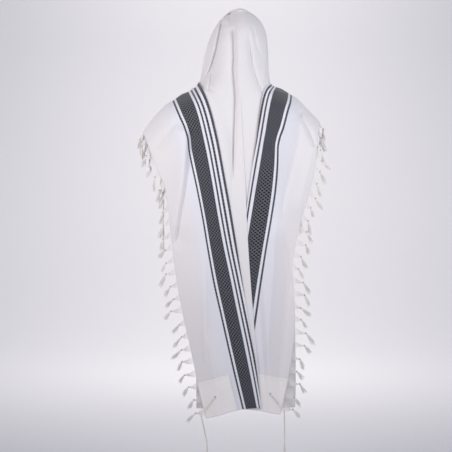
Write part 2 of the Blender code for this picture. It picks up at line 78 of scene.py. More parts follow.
def new_mesh(name, points, faces, surface):
    """A smooth mesh of these points and faces, with its surface, at the origin."""
    mesh = bpy.data.meshes.new(name)
    mesh.from_pydata(np.asarray(points).tolist(), [], np.asarray(faces).tolist())
    mesh.materials.append(surface)
    mesh.shade_smooth()
    made = bpy.data.objects.new(name, mesh)
    bpy.context.scene.collection.objects.link(made)
    return made


def quads(rows, columns):
    """The faces of a grid of points, row by row."""
    corner = (np.arange(rows - 1)[:, None] * columns + np.arange(columns - 1)).reshape(-1, 1)
    return corner + np.array([0, 1, columns + 1, columns])


FLOOR_Z, PAPER_FRONT_Y, PAPER_TOP_Z, PAPER_HALF_WIDTH = -1.90, -7.0, 7.0, 6.0
BEND_Y, BEND_RADIUS = 4.6, 3.0
# Matt paper, so that the lamps leave no glare on it
paper = new_material("seamless_paper", linear("#F1F0F4"), 0.95, Specular_IOR_Level=0.1)[0]
bend = np.linspace(0, math.pi / 2, 49)
sweep = np.concatenate([
    [[PAPER_FRONT_Y, FLOOR_Z]],
    np.array([BEND_Y + BEND_RADIUS * np.sin(bend), FLOOR_Z + BEND_RADIUS * (1 - np.cos(bend))]).T,
    [[BEND_Y + BEND_RADIUS, PAPER_TOP_Z]],
])
sweep_points = [(x, y, z) for x in (-PAPER_HALF_WIDTH, PAPER_HALF_WIDTH) for y, z in sweep]
backdrop = new_mesh("backdrop", sweep_points, quads(2, len(sweep)), paper)

for name, place, target, size, spread, watts, colour in (
    ("left_softbox", (-1.25, -1.35, -0.38), (0.0, 0.0, -0.40), 0.8, 110, 5.1, (1.00, 0.955, 0.92)),
    ("right_softbox", (1.35, -1.40, -0.38), (0.0, 0.0, -0.40), 0.8, 110, 5.2, (0.97, 0.985, 1.00)),
    ("backdrop_softbox", (0.0, 4.4, 4.4), (0.0, 7.2, -0.4), 3.0, 100, 54.0, (1.00, 0.97, 0.91)),
    ("floor_softbox", (0.0, 2.7, 3.5), (0.0, 3.1, -1.9), 2.0, 64, 17.0, (1.00, 0.97, 0.91)),
):
    lamp = bpy.data.lights.new(name, "AREA")
    lamp.shape = "SQUARE"
    lamp.size = size
    lamp.spread = math.radians(spread)
    lamp.energy = watts
    lamp.color = colour
    light = bpy.data.objects.new(name, lamp)
    light.visible_camera = False
    light.location = place
    light.rotation_euler = (Vector(target) - Vector(place)).to_track_quat("-Z", "Y").to_euler()
    bpy.context.scene.collection.objects.link(light)
sky = bpy.data.worlds.new("soft_room")
sky.use_nodes = True
sky.node_tree.nodes["Background"].inputs["Color"].default_value = linear("#F5F6FF")
sky.node_tree.nodes["Background"].inputs["Strength"].default_value = 0.50
bpy.context.scene.world = sky
bpy.context.scene.view_settings.view_transform = "Standard"

view = bpy.data.cameras.new("camera")
view.sensor_width = 36.0
view.lens = 92.8
camera = bpy.data.objects.new("camera", view)
camera.location = (-0.054, -4.65, -0.864)
camera.rotation_euler = (math.pi / 2, 0, 0)
bpy.context.scene.collection.objects.link(camera)
bpy.context.scene.camera = camera


# Hood and back: the middle of the cloth. It is worn wool twill, drawn over the head so that it falls
# in soft folds from the crown, and hangs from there down the back.

def table(columns, *rows):
    """A short table: the column's name gives its values, top row first."""
    return dict(zip(columns.split(), np.array(rows, float).T))


def smooth(at, known_at, known):
    """A curve through the known values that never swings past them."""
    steps = np.diff(known_at)
    rises = np.diff(known) / steps
    product, total = rises[:-1] * rises[1:], rises[:-1] + rises[1:]
    inner = np.where(product > 0, 2 * product / np.where(total == 0, 1, total), 0)
    slopes = np.concatenate([rises[:1], inner, rises[-1:]])
    at = np.clip(at, known_at[0], known_at[-1])
    i = np.clip(np.searchsorted(known_at, at, side="right") - 1, 0, len(steps) - 1)
    t = (at - known_at[i]) / steps[i]
    return (
        (1 + 2 * t) * (1 - t) ** 2 * known[i]
        + t * (1 - t) ** 2 * steps[i] * slopes[i]
        + t**2 * (3 - 2 * t) * known[i + 1]
        - t**2 * (1 - t) * steps[i] * slopes[i + 1]
    )


def ease(at, low, high):
    """0 below low, 1 above high, and smooth between."""
    t = np.clip((at - low) / (high - low), 0, 1)
    return t * t * (3 - 2 * t)


# The head-and-shoulder outline from behind, the hood's face edge in front of each place, and where
# the cloth of that place ends at the hem of the back.
OUTLINE = table(
    "   x       z     edge_x  edge_y  edge_z  hem_x",
    (-0.400, -0.565, -0.400,  0.000, -0.565, -0.22),
    (-0.370, -0.512, -0.370,  0.000, -0.512, -0.20),
    (-0.335, -0.467, -0.335,  0.000, -0.467, -0.18),
    (-0.290, -0.421, -0.290,  0.000, -0.421, -0.16),
    (-0.240, -0.381, -0.238,  0.004, -0.381, -0.14),
    (-0.195, -0.347, -0.185,  0.020, -0.349, -0.12),
    (-0.162, -0.304, -0.140,  0.055, -0.317, -0.10),
    (-0.152, -0.262, -0.120,  0.078, -0.275, -0.09),
    (-0.144, -0.205, -0.108,  0.090, -0.220, -0.08),
    (-0.120, -0.123, -0.098,  0.097, -0.140, -0.06),
    (-0.070, -0.038, -0.062,  0.101, -0.062, -0.03),
    (-0.030, -0.008, -0.030,  0.104, -0.034, -0.01),
    ( 0.006,  0.000,  0.005,  0.105, -0.028,  0.01),
    ( 0.050, -0.020,  0.045,  0.103, -0.044,  0.03),
    ( 0.088, -0.058,  0.082,  0.100, -0.078,  0.05),
    ( 0.108, -0.112,  0.106,  0.095, -0.128,  0.07),
    ( 0.113, -0.185,  0.117,  0.088, -0.200,  0.09),
    ( 0.116, -0.255,  0.120,  0.076, -0.266,  0.10),
    ( 0.124, -0.304,  0.120,  0.055, -0.316,  0.11),
    ( 0.172, -0.342,  0.165,  0.020, -0.345,  0.13),
    ( 0.225, -0.380,  0.222,  0.004, -0.380,  0.15),
    ( 0.270, -0.425,  0.270,  0.000, -0.425,  0.17),
    ( 0.320, -0.480,  0.320,  0.000, -0.480,  0.19),
    ( 0.345, -0.520,  0.345,  0.000, -0.520,  0.20),
)
# Depth of the back at each height, and how far it turns away at the sides
BACK = table(
    "height   depth   turn",
    (-1.650, -0.172, 0.130),
    (-1.300, -0.168, 0.130),
    (-1.000, -0.163, 0.115),
    (-0.700, -0.160, 0.110),
    (-0.500, -0.152, 0.125),
    (-0.400, -0.141, 0.160),
    (-0.330, -0.130, 0.300),
    (-0.260, -0.120, 0.750),
    (-0.180, -0.115, 0.950),
    (-0.100, -0.112, 0.950),
    (-0.030, -0.095, 0.900),
    (0.020, -0.080, 0.900),
)
# Rows of OUTLINE between which the hood's cloth lies, and between which its folds do
HOOD_FIRST, FOLDS_FIRST, FOLDS_LAST, HOOD_LAST = 3.2, 8, 18.2, 20.8
BACK_HEM = -1.440
CREST_Y = -0.015  # where the back turns to the front, over the head and the shoulders
ROLL = 0.110  # drop over which the cloth rounds that line
SIDE_REACH, SIDE_POWER = 0.36, 2.3  # how far out the back turns away by its whole turn, and how suddenly
LEAST_DEPTH = 0.004  # of the cloth behind that line
HEM_DRAW, FACE_BOW = 1.6, 1.7  # how late the fall draws in to its hem, and how the face edge bows
FOLD_ROUND, HOOD_SLACK = 0.0025, 0.0018  # how softly a fold turns at its line, and depth of the slack
CLOTH = 0.0013  # thickness of the twill


def outline_at(rows):
    """The outline's values at these rows of it, whole or not."""
    return {name: smooth(rows, np.arange(len(values)), values) for name, values in OUTLINE.items()}


outline = outline_at(np.linspace(0, len(OUTLINE["x"]) - 1, 240))


def crest(x):
    """Height of the head-and-shoulder outline at x."""
    return np.interp(x, outline["x"], outline["z"])


def rolled(drop, roll):
    """Share of its full depth that the cloth has reached, this far below the shoulder line."""
    return np.sqrt(1 - (1 - np.clip(drop / roll, 0, 1)) ** 2)


def back_points(x, z, out):
    """Points of the back at (x, z), `out` outside the innermost cloth."""
    turn = smooth(z, BACK["height"], BACK["turn"])
    plane = smooth(z, BACK["height"], BACK["depth"]) + turn * (abs(x) / SIDE_REACH) ** SIDE_POWER
    full = np.maximum(CREST_Y - plane, LEAST_DEPTH) + out
    return np.stack([x, CREST_Y - full * rolled(crest(x) + out - z, ROLL), z], axis=-1)


def over_head(place, shares):
    """Points of the hood at these shares of the way from the crest forwards to the face edge."""
    crown = np.stack([place["x"], np.full_like(place["x"], CREST_Y), place["z"]], axis=-1)
    face_edge = np.stack([place["edge_x"], place["edge_y"], place["edge_z"]], axis=-1)
    step = shares[:, None, None]
    return crown + (face_edge - crown) * np.concatenate([step**FACE_BOW, step, step**FACE_BOW], axis=2)


def run_of(line):
    """How far each point of a line is along it."""
    return np.concatenate([[0], np.cumsum(np.linalg.norm(np.diff(line, axis=0), axis=1))])


def points_at(wanted, run, line):
    """Points of a line, this far along it."""
    return np.stack([np.interp(wanted, run, line[:, axis]) for axis in range(3)], axis=-1)


def cut_in_rows(path, shares):
    """Each column of a path cut into rows at these shares of its length, hem to top."""
    columns = path.transpose(1, 0, 2)
    runs = [run_of(column) for column in columns]
    return np.stack([points_at(shares * run[-1], run, column) for run, column in zip(runs, columns)], axis=1)


def outward(grid):
    """The outward direction at each point of a grid."""
    normals = np.cross(np.gradient(grid, axis=1), np.gradient(grid, axis=0))
    normals /= np.maximum(np.linalg.norm(normals, axis=2, keepdims=True), 1e-9)
    return normals if normals[len(grid) // 3, grid.shape[1] // 2, 1] < 0 else -normals


def folded(x, z, folds):
    """Height of the folds drawn on the cloth as seen from behind: ridges, or valleys where they lie in.
    Each falls away to both sides of its line, as far as its two widths say, and fades at its ends."""
    height = np.zeros_like(x)
    for rise, left_width, right_width, fade_in, fade_out, line in folds:
        starts = run_of(line)
        nearest, place, side = np.full(x.shape, np.inf), np.zeros(x.shape), np.zeros(x.shape)
        for (ax, az), (bx, bz), start in zip(line, line[1:], starts):
            length = math.hypot(bx - ax, bz - az)
            dx, dz = (bx - ax) / length, (bz - az) / length
            along = np.clip((x - ax) * dx + (z - az) * dz, 0, length)
            away = np.hypot(x - ax - along * dx, z - az - along * dz)
            closer = away < nearest
            nearest = np.where(closer, away, nearest)
            place = np.where(closer, (start + along) / starts[-1], place)
            side = np.where(closer, (x - ax) * -dz + (z - az) * dx, side)
        width = np.where(side > 0, right_width, left_width)
        fall = np.exp((FOLD_ROUND - np.hypot(nearest, FOLD_ROUND)) / width)
        height += rise * ease(place, 0, fade_in) * (1 - ease(place, 1 - fade_out, 1)) * fall
    return height


def slack(out, run, seed, depth):
    """The slight unevenness of worn cloth, longer down the fall than across it."""
    uneven = 0
    # A broad unevenness and a finer one: waves to the metre across and down, and share of the depth
    for across, down, share, own_seed in ((14, 3.5, 1.0, seed), (42, 13, 0.22, seed + 7.3)):
        places = zip((out * across).ravel(), (run * down).ravel())
        uneven = uneven + share * np.array([noise.noise(Vector((a, b, own_seed))) for a, b in places])
    return (uneven * depth).reshape(out.shape)


def cloth_sheet(name, grid, out, run, surface, thickness=CLOTH):
    """A woven sheet on a grid of points, with the weave's own measure in metres as its UV map."""
    made = new_mesh(name, grid.reshape(-1, 3), quads(*grid.shape[:2]), surface)
    weave = made.data.uv_layers.new(name="weave")
    corners = np.empty(len(made.data.loops), np.int32)
    made.data.loops.foreach_get("vertex_index", corners)
    measures = np.stack([out.ravel(), run.ravel()], axis=-1)[corners]
    weave.data.foreach_set("uv", measures.astype(np.float32).ravel())
    if made.data.polygons[len(made.data.polygons) // 3].normal.y > 0:
        made.data.flip_normals()
    shell = made.modifiers.new("cloth", "SOLIDIFY")
    shell.thickness = thickness
    shell.offset = 0
    return made


def woven(name, colour):
    """Wool twill: matt, with a faint nap, ribs and slubs. Returns it, and what dye_stripes needs."""
    made, tree, shader = new_material(
        name, linear(colour), 0.88, Sheen_Weight=0.35, Sheen_Roughness=0.45, Specular_IOR_Level=0.22,
    )
    weave = add_node(tree, "ShaderNodeUVMap", uv_map="weave").outputs["UV"]
    # Ribs 2.3 mm apart, as a diagonal wave repeats every 0.444 / Scale. The real ones are finer, about
    # 1.5 mm, and would not show.
    ribs = add_node(
        tree, "ShaderNodeTexWave", {"Vector": weave, "Scale": 196.0, "Distortion": 0.5},
        bands_direction="DIAGONAL",
    ).outputs["Fac"]
    # Slubs: threads that run thicker, 2.4 mm across, for about 3 cm
    lengthwise = add_node(tree, "ShaderNodeMapping", {"Vector": weave, "Scale": (420, 30, 1)})
    slubs = add_node(
        tree, "ShaderNodeTexNoise", {"Vector": lengthwise.outputs["Vector"], "Scale": 1.0, "Detail": 2.0},
    ).outputs["Fac"]
    # The nap's tufts are about 4 mm across.
    nap = add_node(
        tree, "ShaderNodeTexNoise", {"Vector": weave, "Scale": 260.0, "Detail": 3.0},
    ).outputs["Fac"]
    thread = add_node(tree, "ShaderNodeMath", {0: ribs, 1: 0.5, 2: slubs}, operation="MULTIPLY_ADD")
    height = add_node(tree, "ShaderNodeMath", {0: thread.outputs[0], 1: nap}, operation="ADD").outputs[0]
    bump = add_node(tree, "ShaderNodeBump", {"Height": height, "Strength": 0.35, "Distance": 0.0006})
    tree.links.new(bump.outputs["Normal"], shader.inputs["Normal"])
    greyed = add_node(tree, "ShaderNodeMath", {0: slubs, 1: 0.16}, operation="MULTIPLY").outputs[0]
    plain = add_node(
        tree, "ShaderNodeMix", {0: greyed, 6: linear(colour), 7: linear("#CBC8CE")}, data_type="RGBA",
    ).outputs[2]
    tree.links.new(plain, shader.inputs["Base Color"])
    return made, tree, shader, weave, slubs, plain


plain_twill = woven("white_wool_twill", "#EFECEE")[0]
# The columns and rows of its cloth are closest together where the folds are.
places = np.interp(np.arange(172), (0, 14, 163, 171), (HOOD_FIRST, FOLDS_FIRST, FOLDS_LAST, HOOD_LAST))
place = outline_at(places)
down = ((1 - np.linspace(0, 1, 190)) ** 2)[:, None]
fall_x = place["x"] + (place["hem_x"] - place["x"]) * (1 - (1 - down) ** HEM_DRAW)
fall_z = place["z"] + (BACK_HEM - place["z"]) * down
fall = back_points(fall_x, fall_z, 0)
hood_path = np.concatenate([fall, over_head(place, np.linspace(0, 1, 30)[1:])])
hood = cut_in_rows(hood_path, np.interp(np.arange(360), (0, 50, 359), (0, 0.30, 1)))
# Lines that two folds share
LEFT_CREASE = ((-0.091, -0.163), (-0.103, -0.206), (-0.113, -0.238), (-0.130, -0.270), (-0.143, -0.300),
               (-0.149, -0.325))
CENTRE_FOLD = ((-0.027, -0.075), (-0.026, -0.131), (-0.024, -0.206), (-0.027, -0.251), (-0.024, -0.295),
               (-0.019, -0.361), (-0.022, -0.449), (-0.027, -0.569), (-0.033, -0.763), (-0.042, -0.872))
RIGHT_VALLEY = ((0.167, -0.864), (0.184, -0.979), (0.188, -1.071), (0.178, -1.148), (0.170, -1.263),
                (0.157, -1.401), (0.136, -1.750))
HOOD_FOLDS = (
    # rise, width to the left, width to the right, fade at each end, line from the top down
    (-0.0130, 0.0035, 0.0030, 0.03, 0.45, ((-0.068, -0.040), (-0.080, -0.106), *LEFT_CREASE)),
    (-0.0120, 0.0040, 0.0300, 0.06, 0.30, ((-0.070, -0.052), (-0.081, -0.110), *LEFT_CREASE)),
    (-0.0120, 0.0030, 0.0090, 0.20, 0.30,
     ((-0.110, -0.238), (-0.112, -0.268), (-0.114, -0.295), (-0.120, -0.322), (-0.124, -0.363))),
    (-0.0400, 0.0300, 0.0450, 0.02, 0.95, ((-0.040, -0.012), (-0.038, -0.060), (-0.034, -0.150))),
    (-0.0170, 0.0280, 0.0040, 0.04, 0.15, CENTRE_FOLD),
    (-0.0130, 0.0040, 0.0040, 0.05, 0.15, [(x + 0.004, z) for x, z in CENTRE_FOLD[:-1]]),
    (0.0030, 0.0030, 0.0180, 0.15, 0.20,
     ((-0.003, -0.095), (-0.003, -0.203), (-0.005, -0.297), (0.000, -0.413), (0.010, -0.569),
      (0.020, -0.724), (0.026, -0.841))),
    (-0.0140, 0.0090, 0.0035, 0.35, 0.20,
     ((0.035, -0.083), (0.038, -0.140), (0.042, -0.184), (0.048, -0.229), (0.058, -0.268),
      (0.071, -0.308), (0.084, -0.335), (0.098, -0.363))),
    (-0.0045, 0.0060, 0.0050, 0.20, 0.40,
     ((0.047, -0.071), (0.058, -0.118), (0.066, -0.163), (0.080, -0.193), (0.093, -0.215))),
    (0.0075, 0.0220, 0.0030, 0.10, 0.10,
     ((0.101, -0.102), (0.104, -0.122), (0.103, -0.184), (0.101, -0.233), (0.098, -0.268),
      (0.096, -0.297))),
    # It gives way under a valley of the right flap.
    (-0.0080, 0.0350, 0.0120, 0.15, 0.50, RIGHT_VALLEY),
)
# In front of the crest there are no folds, and less slack.
behind = ease(CREST_Y - hood[..., 1], 0, 0.02)
lift = slack(hood[..., 0], hood[..., 2] - hood[..., 1], 1.0, HOOD_SLACK) * (0.3 + 0.7 * behind)
creased = folded(hood[..., 0], hood[..., 2], HOOD_FOLDS) * behind
hood += outward(hood) * lift[..., None]
hood[..., 1] -= creased
# The weave's measure over the hood, from its fall's hem up and across
HOOD_RUN, HOOD_WIDTH = 1.6, 0.57
out, run = np.meshgrid(np.linspace(0, HOOD_WIDTH, hood.shape[1]), np.linspace(0, HOOD_RUN, len(hood)))
hood_and_back = cloth_sheet("hood_and_back", hood, out, run, plain_twill)
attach(hood_and_back, "root")
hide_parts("hood_and_back")


# The two ends: each is folded on itself over a shoulder. The inner layer runs back to the spine, and
# the striped flap lies on it and runs out again to the fringe.

CHEST_Y, CHEST_TURN = 0.115, 0.075  # depth of the front, and how far it turns back at the sides
FRONT_ROLL, FRONT_REACH = 0.090, 0.80  # drops over which it rounds the shoulder, and down to its foot
FRONT_TUCK, TUCK_DROP = 0.090, 0.24  # how far in it hangs, and the drop by which it has come in
NECK_Z = -0.310  # no shoulder line that a drop is measured from is higher
LAYER_STEP = 0.0027  # from each layer to the next, where they lie flat
LAYER_PUFF, PUFF_ENDS = 0.0058, (0.10, 0.30)  # what that grows by at the shoulder, and drops where it fades
PATCH_ROOM, PATCH_ROOM_ENDS = 0.0030, (0.80, 0.86)  # the left layers stand off the patch below them
# Out from the inner fold: the broad band's inner side, the outermost thin line, and the fringe
STRIPE_AT, LINE_AT, FLAP_WIDTH = 0.049, 0.118, 0.283
CLOTH_WIDTH = 1.50
# Where those places lie in x, this share of the way down, and how much cloth has rolled under the fold
LEFT_FLAP = table(
    "down   fold    stripe  line    edge    turned",
    (0.00, -0.162, -0.204, -0.265, -0.383, 0.000),
    (0.06, -0.128, -0.172, -0.235, -0.356, 0.000),
    (0.10, -0.111, -0.157, -0.214, -0.339, 0.000),
    (0.14, -0.098, -0.145, -0.201, -0.320, 0.000),
    (0.17, -0.089, -0.137, -0.198, -0.306, 0.000),
    (0.20, -0.081, -0.129, -0.191, -0.292, 0.000),
    (0.30, -0.058, -0.106, -0.165, -0.274, 0.000),
    (0.40, -0.035, -0.085, -0.142, -0.264, 0.000),
    (0.50, -0.015, -0.062, -0.122, -0.249, 0.001),
    (0.60, 0.005, -0.036, -0.100, -0.230, 0.005),
    (0.70, 0.026, -0.011, -0.073, -0.206, 0.010),
    (0.80, 0.047, 0.015, -0.046, -0.181, 0.015),
    (0.90, 0.066, 0.040, -0.018, -0.158, 0.020),
    (1.00, 0.081, 0.064, 0.011, -0.130, 0.026),
)
RIGHT_FLAP = table(
    "down   fold    stripe  line    edge    turned",
    (0.00, 0.124, 0.145, 0.205, 0.318, 0.013),
    (0.03, 0.096, 0.128, 0.198, 0.311, 0.014),
    (0.06, 0.085, 0.118, 0.186, 0.303, 0.015),
    (0.12, 0.074, 0.104, 0.166, 0.298, 0.018),
    (0.15, 0.069, 0.098, 0.153, 0.293, 0.020),
    (0.18, 0.064, 0.091, 0.146, 0.288, 0.021),
    (0.22, 0.056, 0.083, 0.145, 0.278, 0.023),
    (0.30, 0.041, 0.066, 0.138, 0.252, 0.026),
    (0.40, 0.023, 0.045, 0.121, 0.222, 0.028),
    (0.50, 0.003, 0.025, 0.100, 0.204, 0.028),
    (0.60, -0.018, 0.006, 0.081, 0.210, 0.028),
    (0.70, -0.038, -0.013, 0.063, 0.213, 0.028),
    (0.80, -0.058, -0.032, 0.045, 0.202, 0.028),
    (0.90, -0.080, -0.052, 0.026, 0.181, 0.028),
    (1.00, -0.104, -0.073, 0.007, 0.155, 0.028),
)
# Height of the back hem at those places
HEMS = {-1: (-1.563, -1.562, -1.566, -1.600), 1: (-1.570, -1.568, -1.568, -1.590)}
# Where an inner layer's two edges lie in x, this share of the way down
LEFT_UNDER = table(
    "down   inner   outer",
    (0.00, 0.000, -0.345),
    (0.15, 0.010, -0.300),
    (0.30, 0.020, -0.258),
    (0.45, 0.028, -0.246),
    (0.60, 0.040, -0.222),
    (0.75, 0.055, -0.194),
    (0.90, 0.072, -0.168),
    (1.00, 0.083, -0.168),
)
RIGHT_UNDER = table(
    "down   inner   outer",
    (0.00, 0.165, 0.290),
    (0.15, 0.120, 0.272),
    (0.30, 0.090, 0.236),
    (0.45, 0.070, 0.200),
    (0.60, 0.055, 0.200),
    (0.75, 0.040, 0.214),
    (0.90, 0.030, 0.216),
    (1.00, 0.020, 0.214),
)
UNDER_WIDTH, UNDER_TOP, UNDER_HEM = 0.36, -0.314, -1.566
# Places out from the middle between which an inner layer comes to run over the shoulder, and how far its
# front hem stays behind the flap's
UNDER_OVER, UNDER_SHORTER = (0.165, 0.250), 0.030
# Where the left inner layer comes down to the hood's own cloth, beside the flap's inner fold
MEETING = table(
    "height   from_x   to_x",
    (-0.700, -0.050, 0.000),
    (-0.500, -0.085, -0.035),
    (-0.400, -0.110, -0.060),
    (-0.345, -0.135, -0.085),
    (-0.314, -0.200, -0.150),
)
LEFT_FOLD = ((-0.196, -0.534), (-0.200, -0.611), (-0.214, -0.722), (-0.228, -0.799), (-0.236, -0.849))
# Folds of the two ends, told as HOOD_FOLDS tells them
FOLDS = {
    -1: (
        (0.0260, 0.080, 0.026, 0.08, 0.25,
         ((-0.194, -0.470), *((x - 0.006, z) for x, z in LEFT_FOLD), (-0.251, -0.918), (-0.256, -0.964))),
        (-0.0220, 0.006, 0.026, 0.08, 0.12,
         ((-0.188, -0.470), *LEFT_FOLD, (-0.246, -0.918), (-0.256, -0.960))),
        (-0.0110, 0.026, 0.018, 0.40, 0.25, ((-0.225, -0.436), (-0.288, -0.515), (-0.345, -0.580))),
        (0.0250, 0.080, 0.026, 0.30, 0.03,
         ((-0.146, -0.918), (-0.138, -1.002), (-0.135, -1.109), (-0.135, -1.186), (-0.131, -1.282),
          (-0.115, -1.347), (-0.100, -1.416), (-0.085, -1.490), (-0.070, -1.750))),
        (0.0025, 0.003, 0.003, 0.20, 0.20, ((-0.140, -1.232), (-0.138, -1.320), (-0.129, -1.408))),
    ),
    1: (
        (0.0320, 0.100, 0.035, 0.02, 0.55,
         ((0.200, -0.336), (0.190, -0.380), (0.176, -0.458), (0.153, -0.542), (0.148, -0.630),
          (0.134, -0.714), (0.121, -0.810), (0.103, -0.910))),
        (0.0140, 0.050, 0.080, 0.04, 0.20,
         ((0.305, -0.420), (0.295, -0.500), (0.280, -0.580), (0.262, -0.660), (0.236, -0.760),
          (0.225, -0.860))),
        (-0.0080, 0.010, 0.006, 0.04, 0.20,
         ((0.240, -0.370), (0.236, -0.410), (0.232, -0.442), (0.227, -0.488), (0.225, -0.542),
          (0.212, -0.592), (0.200, -0.634), (0.186, -0.688), (0.174, -0.734), (0.166, -0.787),
          (0.165, -0.849))),
        (-0.0160, 0.004, 0.010, 0.08, 0.08,
         ((0.230, -0.412), (0.237, -0.442), (0.262, -0.492), (0.290, -0.560))),
        (0.0150, 0.060, 0.020, 0.10, 0.03,
         ((0.132, -0.822), (0.132, -0.879), (0.130, -0.994), (0.120, -1.132), (0.111, -1.263),
          (0.097, -1.424), (0.085, -1.750))),
        (-0.0150, 0.035, 0.012, 0.15, 0.50, RIGHT_VALLEY),
    ),
}
FOLDS_BEGIN = (-0.03, 0.09)  # shares of the way down
FLAP_FULLNESS = 0.007  # how far the plain cloth stands off, so that a fold can lie in it
CLEAR_OF_LEFT = (0.020, 0.050)  # the right flap lies flat under the left layers, this far past them
NEAR_FOLD, FOLD_PUFF = 0.090, 0.10  # beside its inner fold a flap keeps this share of its puff
END_SLACK = 0.0008
# How deep the left inner layer's top edge lies in the hood's cloth, and what it rises by over a drop
EDGE_SUNK, EDGE_RISE, EDGE_DROP = 0.0018, 0.0035, 0.09
UNDER_ROWS, FLAP_ROWS, FLAP_COLUMNS = 330, 430, 82


def layer_out(layer, drop, from_fold=NEAR_FOLD):
    """How far out a layer lies, this far below the shoulder line and from the flap's inner fold."""
    fullness = FOLD_PUFF + (1 - FOLD_PUFF) * ease(from_fold, 0, NEAR_FOLD)
    return layer * (LAYER_STEP + LAYER_PUFF * fullness * (1 - ease(drop, *PUFF_ENDS)))


def front_points(x, drop, out):
    """Points of the front, this far below the shoulder line at x."""
    inward = x - np.copysign(FRONT_TUCK, x) * ease(drop, 0, TUCK_DROP)
    plane = CHEST_Y - CHEST_TURN * (abs(inward) / SIDE_REACH) ** 2
    y = CREST_Y + (plane - CREST_Y + out) * rolled(drop, FRONT_ROLL)
    return np.stack([inward, y, crest(x) + out - drop], axis=-1)


def thrown_back(x_at, hem, top_z, level, lengths, rows):
    """A layer from the back hem up over the shoulder and down the front, in even rows: its points, how
    far along it they are, and their shares of the way down the back."""
    down = ((1 - np.linspace(0, 1, 260)) ** 2)[:, None]
    x = x_at(down)
    z = top_z + (hem - top_z) * down
    back = back_points(x, z, level(down, np.minimum(crest(x), NECK_Z) - z, x, z))
    rounding = FRONT_ROLL * (1 - np.cos(np.linspace(0, math.pi / 2, 41)[1:]))
    drops = np.concatenate([rounding, np.linspace(FRONT_ROLL, FRONT_REACH, 61)[1:]])[:, None]
    top_x = x[-1:]
    front = front_points(top_x, drops, level(-drops, drops, top_x + 0 * drops, z[-1:] + 0 * drops))
    path = np.concatenate([back, front])
    shares = np.concatenate([down + 0 * x, -drops + 0 * top_x])
    columns = range(path.shape[1])
    run = np.stack([run_of(path[:, c]) for c in columns], axis=1)
    crest_run = run[len(back) - 1]
    at = np.linspace(0, 1, rows)[:, None] * (lengths(crest_run, top_x[0]) + 0 * crest_run)
    grid = np.stack([points_at(at[:, c], run[:, c], path[:, c]) for c in columns], axis=1)
    return grid, at, np.stack([np.interp(at[:, c], run[:, c], shares[:, c]) for c in columns], axis=1)


def on_hood(x, z):
    """1 where the left inner layer lies on the hood's own cloth, and 0 where it lies on other layers."""
    start, end = (smooth(z, MEETING["height"], MEETING[name]) for name in ("from_x", "to_x"))
    return ease(x, start, end) * (1 - ease(-z, 0.60, 0.86))


def under_layer(side, under, layer, share):
    """The grid of an inner layer with columns at these shares of the way out, and its measure."""

    def x_at(down):
        inner = smooth(down, under["down"], under["inner"])
        return inner + (smooth(down, under["down"], under["outer"]) - inner) * share

    def level(down, drop, x, z):
        # It gives way where the flap's folds lie in.
        giving = np.minimum(folded(x, z, FOLDS[side]) + FLAP_FULLNESS, 0) * ease(down, *FOLDS_BEGIN)
        if side > 0:
            return layer_out(layer, drop) + giving
        from_fold = smooth(z, MEETING["height"], MEETING["from_x"]) - x
        level = layer_out(layer, drop, from_fold) + giving + PATCH_ROOM * ease(down, *PATCH_ROOM_ENDS)
        near = EDGE_RISE * ease(UNDER_TOP - z, 0, EDGE_DROP) - EDGE_SUNK
        return level + (near - level) * on_hood(x, z) * (1 - ease(-down, 0, 0.1))

    def lengths(crest_run, top_x):
        return crest_run + (CLOTH_WIDTH - UNDER_SHORTER - crest_run) * ease(abs(top_x), *UNDER_OVER)

    top = np.minimum(crest(x_at(np.zeros((1, 1)))) + layer_out(layer, 0), UNDER_TOP)
    grid, run, _ = thrown_back(x_at, UNDER_HEM, top, level, lengths, UNDER_ROWS)
    return grid, share * UNDER_WIDTH + 0 * run, run


def flap(side, sizes, layer):
    """The grid of a striped flap, and its measure."""
    out = np.linspace(0, FLAP_WIDTH, FLAP_COLUMNS)
    names = ("fold", "stripe", "line", "edge")
    guides_out = np.array([0, STRIPE_AT, LINE_AT, FLAP_WIDTH])

    def x_at(down):
        guides = np.concatenate([smooth(down, sizes["down"], sizes[name]) for name in names], axis=1)
        return np.array([smooth(out, guides_out, row) for row in guides])

    def level(down, drop, x, z):
        fullness = FLAP_FULLNESS * ease(out, LINE_AT - 0.01, LINE_AT + 0.04)
        creases = folded(x, z, FOLDS[side]) * ease(down, *FOLDS_BEGIN)
        flat = layer_out(layer, drop, out)
        if side < 0:
            return flat + fullness + creases + PATCH_ROOM * ease(down, *PATCH_ROOM_ENDS)
        # The right one is drawn flat along its inner fold.
        relief = fullness + creases * ease(out, -0.01, 0.06)
        past_left = x - smooth(np.maximum(down, 0), LEFT_UNDER["down"], LEFT_UNDER["inner"])
        return flat + relief * ease(past_left, *CLEAR_OF_LEFT)

    hem = smooth(out, guides_out, np.array(HEMS[side]))
    start = np.zeros((1, 1))
    top_x = x_at(start)
    top = crest(top_x) + level(start, start, top_x, crest(top_x))
    grid, run, down = thrown_back(x_at, hem, top, level, lambda *_: CLOTH_WIDTH, FLAP_ROWS)
    turned = smooth(np.clip(down, 0, 1), sizes["down"], sizes["turned"])
    rolled_out = turned + (STRIPE_AT - turned) * out / STRIPE_AT
    return grid, np.where(out < STRIPE_AT, rolled_out, out + 0 * down), run


